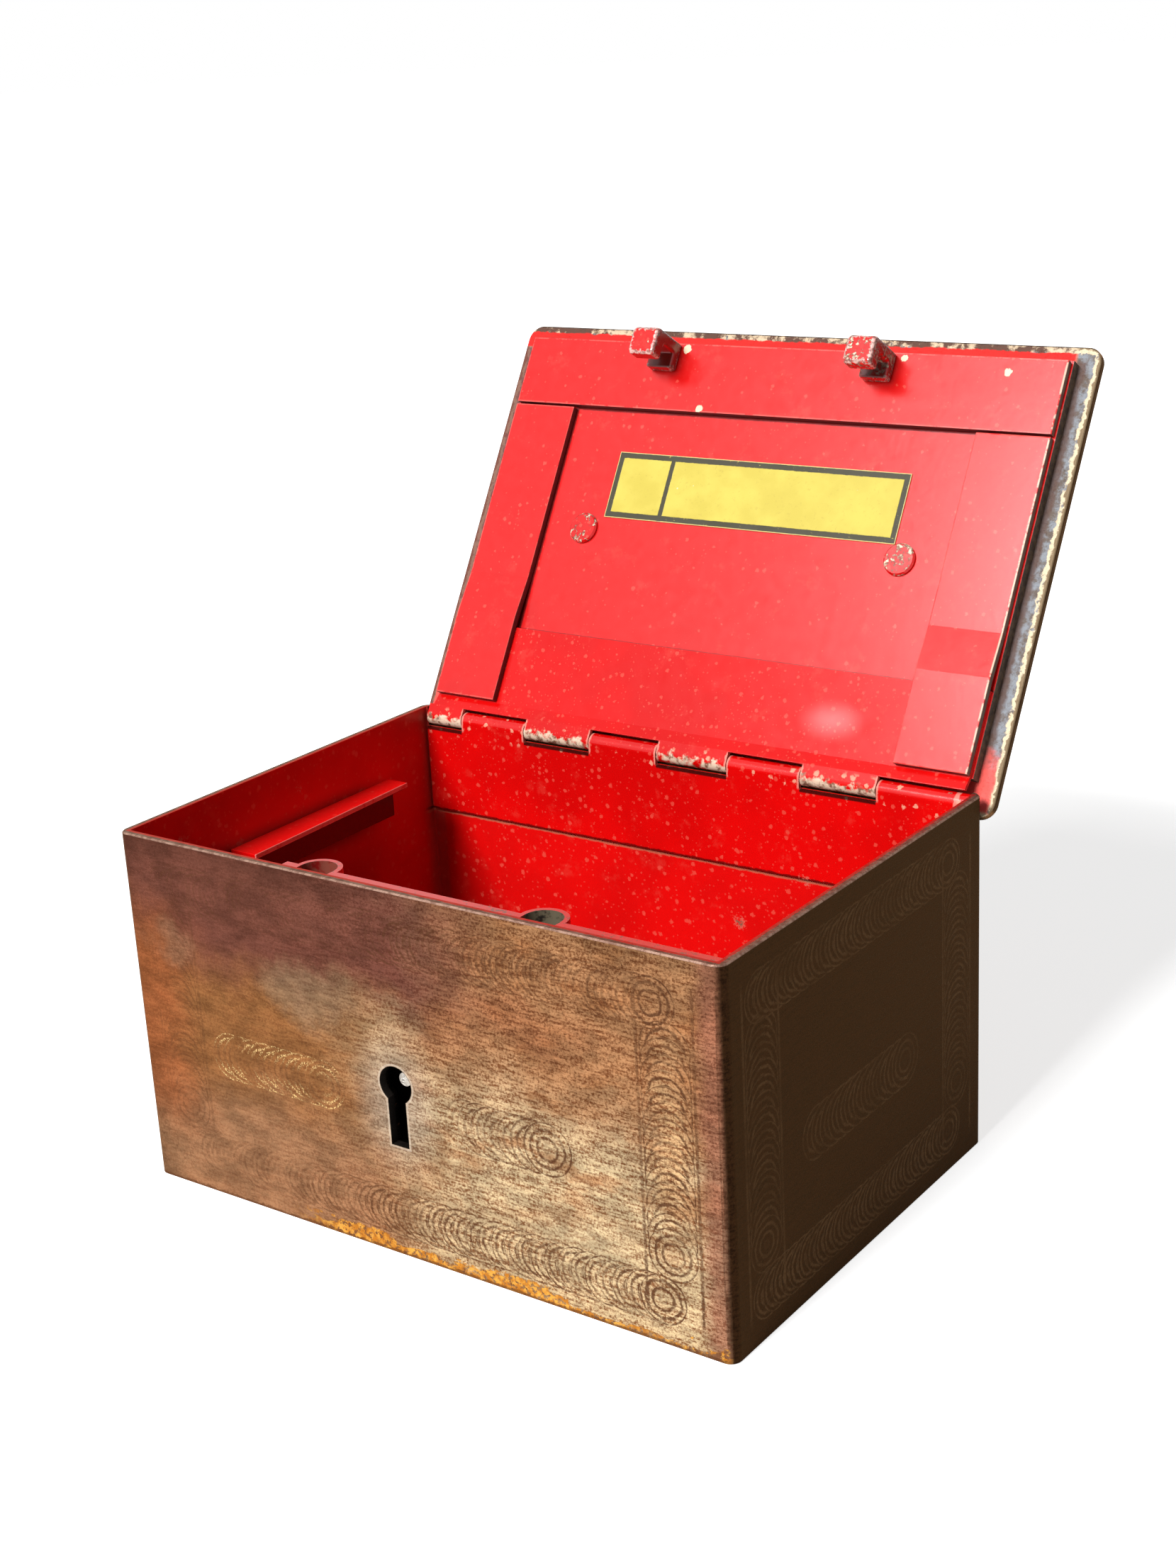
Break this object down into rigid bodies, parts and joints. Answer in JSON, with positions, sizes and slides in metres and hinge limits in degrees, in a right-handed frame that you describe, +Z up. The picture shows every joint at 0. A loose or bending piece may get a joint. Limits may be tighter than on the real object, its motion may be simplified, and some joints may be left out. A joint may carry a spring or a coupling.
{
  "type": "strongbox",
  "caption": "Small steel strongbox with a thick hinged lid, hooks that drop into a key-thrown bolt lock, tray ledges and a bail handle on the lid.",
  "frame": {"origin": "centre of the underside of the box", "axes": "+X to the right seen from the front, -Y out of the front wall with the keyhole, +Z up"},
  "size_m": [0.2044, 0.212, 0.2237],
  "materials": {
    "outer_steel": "engine-turned steel with brown patina",
    "red_enamel": "glossy red enamel, chipped",
    "bare_steel": "bare worn steel",
    "label_paint": "matt yellow paint, no text"
  },
  "bodies": {
    "box": {"body_shell": "outer_steel", "bottom_plate": "red_enamel", "box_leaf": "red_enamel", "hinge_pin": "bare_steel", "tray_ledge_left": "red_enamel", "tray_ledge_right": "red_enamel", "lock_base": "red_enamel", "lock_cover": "red_enamel", "lock_posts": "bare_steel", "cover_screws": "bare_steel", "drill_pin": "bare_steel", "guide_studs": "bare_steel", "stud_clips": "bare_steel", "spring_post": "bare_steel", "bolt_spring": "bare_steel"},
    "lid": {"lid_cover": "outer_steel", "lid_inner_plate": "red_enamel", "lid_front_strip": "red_enamel", "lid_left_strip": "red_enamel", "lid_right_strip": "red_enamel", "lid_leaf": "red_enamel", "hook_left": "red_enamel", "hook_right": "red_enamel", "label_plate": "label_paint", "handle_bracket_left": "bare_steel", "handle_bracket_right": "bare_steel", "handle_rivets": "red_enamel"},
    "handle": {"handle_bail": "bare_steel"},
    "bolt": {"bolt_bar": "bare_steel"}
  },
  "joints": [
    {"name": "lid_hinge", "type": "hinge", "parent": "box", "child": "lid", "pos_m": [0, 0.0675, 0.1037], "axis": [1, 0, 0], "range_deg": [0, 121]},
    {"name": "handle_swing", "type": "hinge", "parent": "lid", "child": "handle", "pos_m": [0, 0.11408, 0.15481], "axis": [1, 0, 0], "range_deg": [-37, 155]},
    {"name": "bolt_slide", "type": "slide", "parent": "box", "child": "bolt", "axis": [-1, 0, 0], "range_m": [0, 0.012]}
  ]
}
